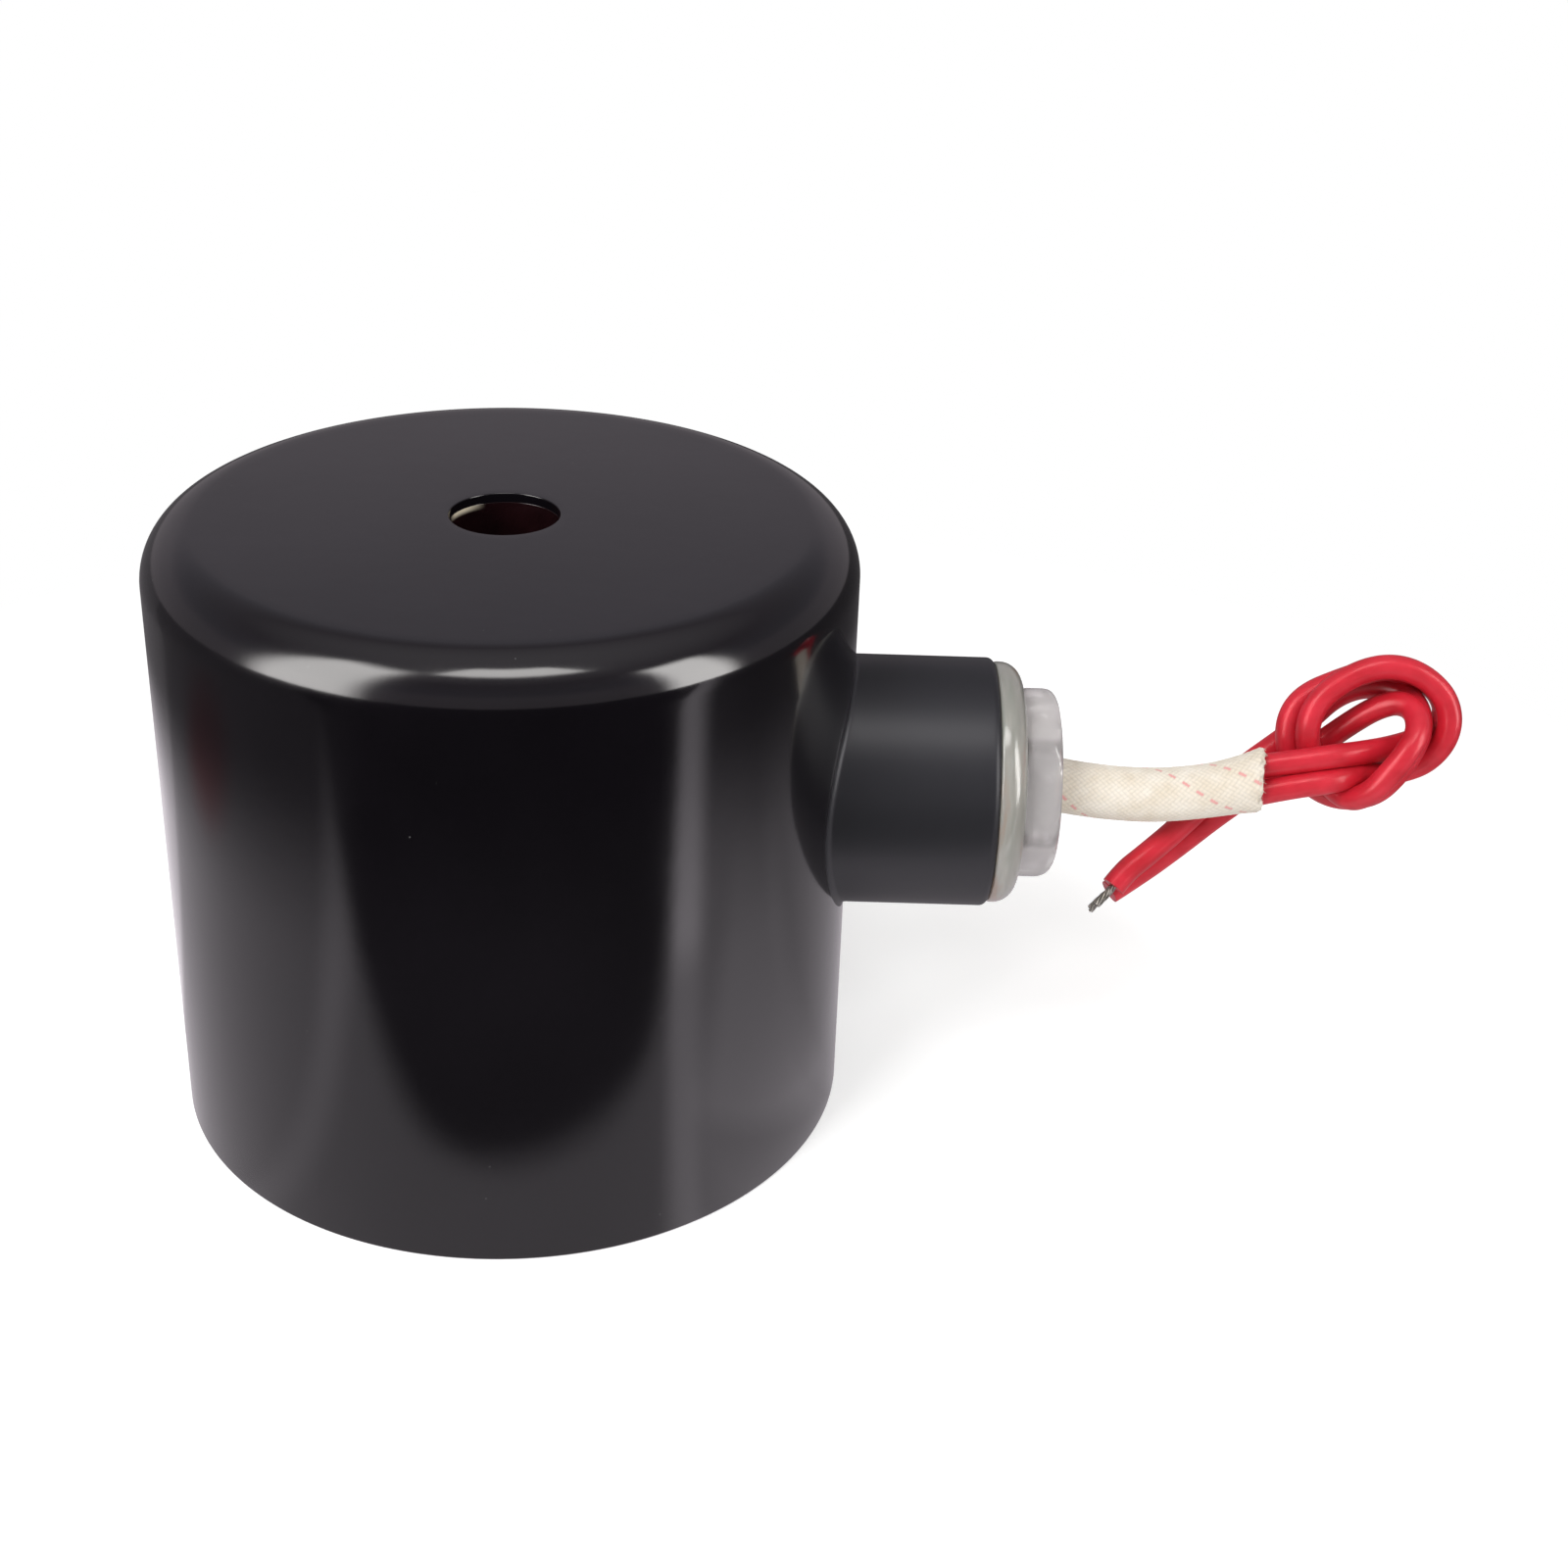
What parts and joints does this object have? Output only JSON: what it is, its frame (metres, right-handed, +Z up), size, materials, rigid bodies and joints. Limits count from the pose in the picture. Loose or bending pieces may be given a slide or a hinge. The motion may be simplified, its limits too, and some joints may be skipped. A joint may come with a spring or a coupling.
{
  "type": "solenoid valve coil",
  "caption": "Cylindrical coil in a black can with a through hole, a side outlet with a clamping gland, and knotted red leads in a woven sleeve.",
  "frame": {"origin": "centre of the through hole at the coil's underside", "axes": "+Z up the through hole towards the lid, +X along the lead outlet"},
  "size_m": [0.1722, 0.09, 0.082],
  "materials": {
    "black_enamel": "glossy black enamel",
    "plated_steel": "zinc plated",
    "former_brown": "dark red-brown, glossy",
    "moulded_cheek": "moulded",
    "insulating_paper": "pressed board",
    "insulating_tape": "polyester tape",
    "copper_wire": "enamelled copper",
    "cast_resin": "cast resin",
    "tinned_copper": "tinned",
    "splice_cover": "woven cover",
    "red_silicone": "smooth, slightly glossy red",
    "woven_glass": "cream braid with red tracer threads",
    "pale_plastic": "pale, slightly see-through",
    "pale_rubber": "soft",
    "clamp_plastic": "plain",
    "clear_plastic": "clear, glossy"
  },
  "bodies": {
    "coil": {"casing": "black_enamel", "outlet_tube": "black_enamel", "base_plate": "plated_steel", "upper_yoke_ring": "plated_steel", "former_tube": "former_brown", "upper_cheek": "moulded_cheek", "lower_cheek": "moulded_cheek", "upper_washer": "insulating_paper", "lower_washer": "insulating_paper", "inner_wrap": "insulating_tape", "outer_tape": "insulating_tape", "winding": "copper_wire", "tail_a": "copper_wire", "tail_b": "copper_wire", "potting": "cast_resin", "splice_barrel_a": "tinned_copper", "splice_barrel_b": "tinned_copper", "lead_tip_a": "tinned_copper", "lead_tip_b": "tinned_copper", "splice_cover_a": "splice_cover", "splice_cover_b": "splice_cover", "lead_a": "red_silicone", "lead_b": "red_silicone", "glass_sleeve": "woven_glass", "gland_body": "pale_plastic", "gland_grommet": "pale_rubber"},
    "ring": {"clamp_ring": "clamp_plastic"},
    "nut": {"gland_nut": "clear_plastic"}
  },
  "joints": [
    {"name": "gland_nut_travel", "type": "slide", "parent": "coil", "child": "ring", "axis": [1, 0, 0], "range_m": [0, 0.00376]},
    {"name": "gland_nut_turn", "type": "hinge", "parent": "ring", "child": "nut", "pos_m": [0.07, 0, 0.046], "axis": [1, 0, 0], "range_deg": [0, 900]}
  ],
  "couplings": [
    {"joint": "gland_nut_travel", "follows": "gland_nut_turn", "m_per_rad": 0.00023873}
  ]
}
